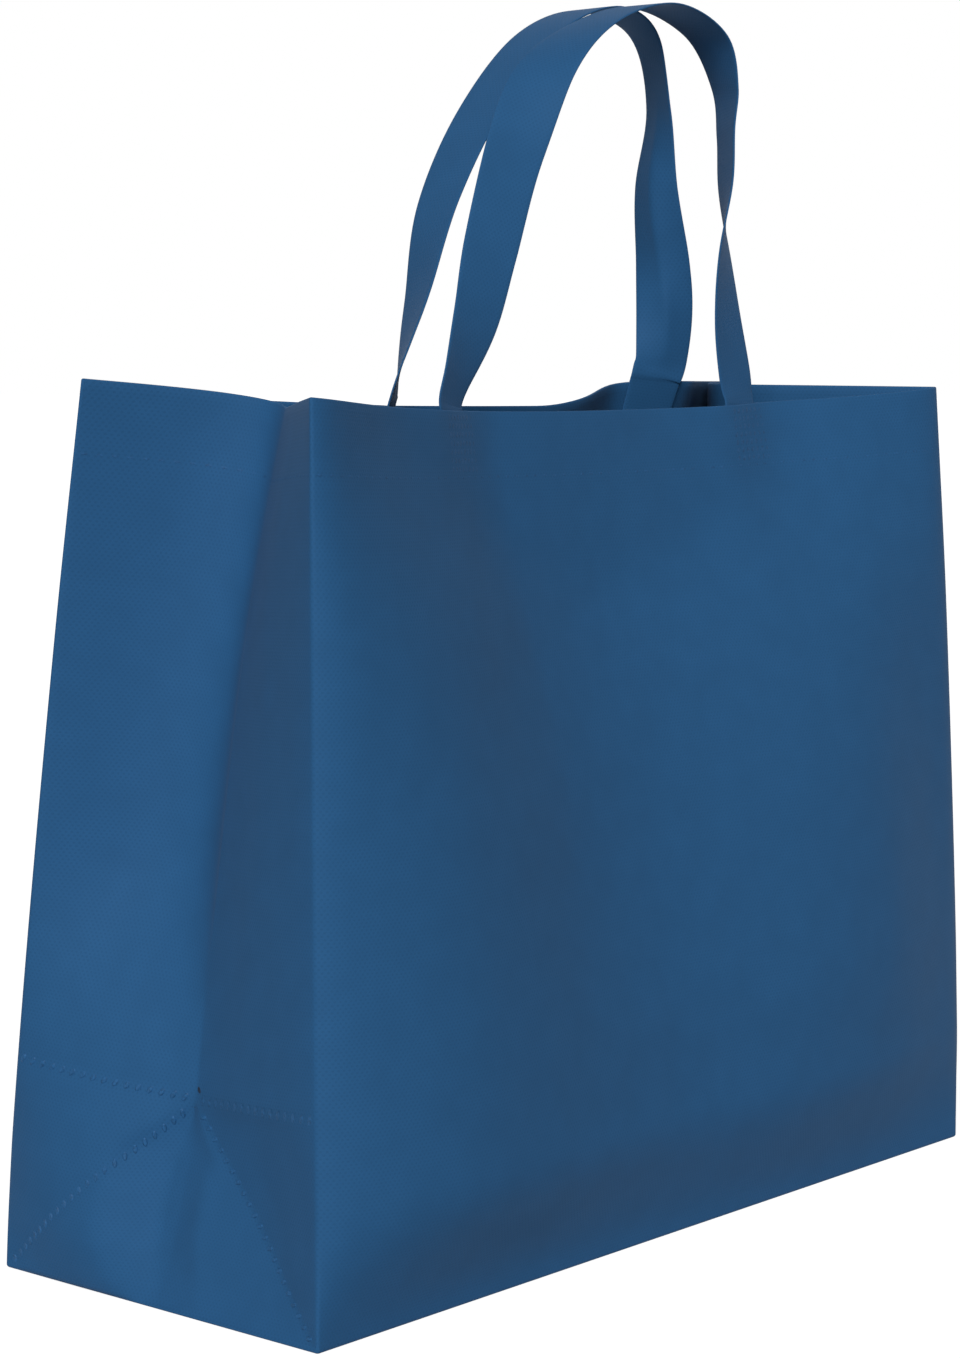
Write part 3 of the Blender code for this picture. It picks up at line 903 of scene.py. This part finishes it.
def make_strap(name, side_y, stations, dishes=()):
    """A closed strap along its path, and the path's length."""
    path = handle_path(side_y, stations)
    section = strap_section()
    mesh = bmesh.new()
    follow = mesh.loops.layers.uv.new("sheet")
    rows = []
    lengths = [0.0]
    for index, (centre, wide) in enumerate(path):
        ahead, behind = min(index + TANGENT_STEPS, STRAP_STEPS), max(index - TANGENT_STEPS, 0)
        along = (path[ahead][0] - path[behind][0]).normalized()
        wide = (wide - along * wide.dot(along)).normalized()
        out = wide.cross(along)
        row = []
        for across, side in section:
            offset = side * STRAP_THICKNESS / 2 + dish_depth(dishes, index / STRAP_STEPS, across)
            row.append(mesh.verts.new(centre + wide * (across * STRAP_WIDTH / 2) + out * offset))
        rows.append(row)
        if index:
            lengths.append(lengths[-1] + (centre - path[index - 1][0]).length)
    count = len(section)
    for level, (low, high) in enumerate(zip(rows, rows[1:])):
        for place in range(count):
            after = (place + 1) % count
            face = mesh.faces.new((low[place], high[place], high[after], low[after]))
            for loop in face.loops:
                row = level if loop.vert in low else level + 1
                spot = place if loop.vert in (low[place], high[place]) else after
                loop[follow].uv = (section[spot][0] * STRAP_WIDTH / 2, lengths[row])
    mesh.faces.new(rows[0])
    mesh.faces.new(list(reversed(rows[-1])))
    bmesh.ops.recalc_face_normals(mesh, faces=mesh.faces)
    data = bpy.data.meshes.new(name)
    mesh.to_mesh(data)
    mesh.free()
    data.shade_smooth()
    data.set_sharp_from_angle(angle=radians(SHARP_EDGE))
    piece = bpy.data.objects.new(name, data)
    bpy.context.collection.objects.link(piece)
    return piece, lengths[-1]


strap_sheet = nonwoven("strap sheet", BAG_BLUE, 0.68)
front_strap, front_length = make_strap("front_handle_strap", FRONT, FRONT_STATIONS)
front_strap.data.materials.append(strap_sheet)
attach(front_strap, "root")
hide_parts("front_handle")

# Back handle
# The same strap on the back panel. It leans forward to the front handle, and its right leg turns over on the
# way down and bends along its middle. The bend has a start, an end, a ridge across and a height.
BACK_STATIONS = (
    (-0.905, 0.07, 221),
    (-0.858, 0.15, 231),
    (-0.775, 0.27, 244),
    (-0.637, 0.49, 262),
    (-0.366, 0.72, 270),
    (0.01, 0.92, 270),
    (0.42, 1.00, 264),
    (0.74, 0.94, 242),
    (0.868, 0.75, 242),
    (0.885, 0.54, 266),
    (0.955, 0.34, 290),
    (0.975, 0.20, 312),
    (0.965, 0.07, 332),
)
BACK_DISHES = ((0.57, 0.80, 0.05, -0.0060),)
back_strap, back_length = make_strap("back_handle_strap", BACK, BACK_STATIONS, BACK_DISHES)
back_strap.data.materials.append(strap_sheet)
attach(back_strap, "root")
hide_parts("back_handle")

# Room
# A white floor that runs out of sight under an even pale sky, and one broad light from the camera's left.
FLOOR_SIZE = 60.0
FLOOR_COLOUR = 0.52
FLOOR_LIFT = 0.78
SKY_LIGHT = 0.15
KEY_LIGHT = 3.05
KEY_SPREAD = 30.0
KEY_FROM = Vector((-0.80, -0.60, 0.48))


def background_share(nodes, links, other, seen):
    """A value that is one number for the rays that show the background, and another for those that light."""
    path = nodes.new("ShaderNodeLightPath")
    total = path.outputs["Is Camera Ray"]
    for name in ("Is Glossy Ray", "Is Transmission Ray"):
        more = nodes.new("ShaderNodeMath")
        more.operation = "MAXIMUM"
        links.new(total, more.inputs[0])
        links.new(path.outputs[name], more.inputs[1])
        total = more.outputs[0]
    level = nodes.new("ShaderNodeMapRange")
    level.inputs["To Min"].default_value = other
    level.inputs["To Max"].default_value = seen
    links.new(total, level.inputs["Value"])
    return level.outputs["Result"]


bpy.ops.mesh.primitive_plane_add(size=FLOOR_SIZE)
floor = bpy.context.object
floor.name = "floor"
white = bpy.data.materials.new("white floor")
white.use_nodes = True
nodes, links = white.node_tree.nodes, white.node_tree.links
matte = nodes["Principled BSDF"]
matte.inputs["Base Color"].default_value = (FLOOR_COLOUR, FLOOR_COLOUR, FLOOR_COLOUR, 1.0)
matte.inputs["Roughness"].default_value = 0.9
matte.inputs["Specular IOR Level"].default_value = 0.0
matte.inputs["Emission Color"].default_value = (1.0, 1.0, 1.0, 1.0)
links.new(background_share(nodes, links, 0.0, FLOOR_LIFT), matte.inputs["Emission Strength"])
floor.data.materials.append(white)

world = bpy.data.worlds.new("pale room")
world.use_nodes = True
nodes, links = world.node_tree.nodes, world.node_tree.links
sky = nodes["Background"]
sky.inputs["Color"].default_value = (1.0, 1.0, 1.0, 1.0)
links.new(background_share(nodes, links, SKY_LIGHT, 1.0), sky.inputs["Strength"])
bpy.context.scene.world = world

lamp = bpy.data.lights.new("key light", "SUN")
lamp.energy = KEY_LIGHT
lamp.angle = radians(KEY_SPREAD)
key = bpy.data.objects.new("key light", lamp)
key.rotation_mode = "QUATERNION"
key.rotation_quaternion = (-KEY_FROM).to_track_quat("-Z", "Y")
bpy.context.collection.objects.link(key)

# Camera
# It stands level with the rim, about two and a half bag widths from the front left fold, and looks down
# a little.
CAMERA_PLACE = Vector((-1.0657, -0.8968, 0.3739))
CAMERA_TURN = 40.79
CAMERA_DIP = 5.686
CAMERA_LENS = 83.46
lens = bpy.data.cameras.new("camera")
lens.lens = CAMERA_LENS
lens.sensor_width = 36.0
lens.clip_start = 0.05
camera = bpy.data.objects.new("camera", lens)
camera.location = CAMERA_PLACE
camera.rotation_euler = (radians(90.0 - CAMERA_DIP), 0.0, radians(CAMERA_TURN - 90.0))
bpy.context.collection.objects.link(camera)
bpy.context.scene.camera = camera
bpy.context.scene.view_settings.view_transform = "Standard"
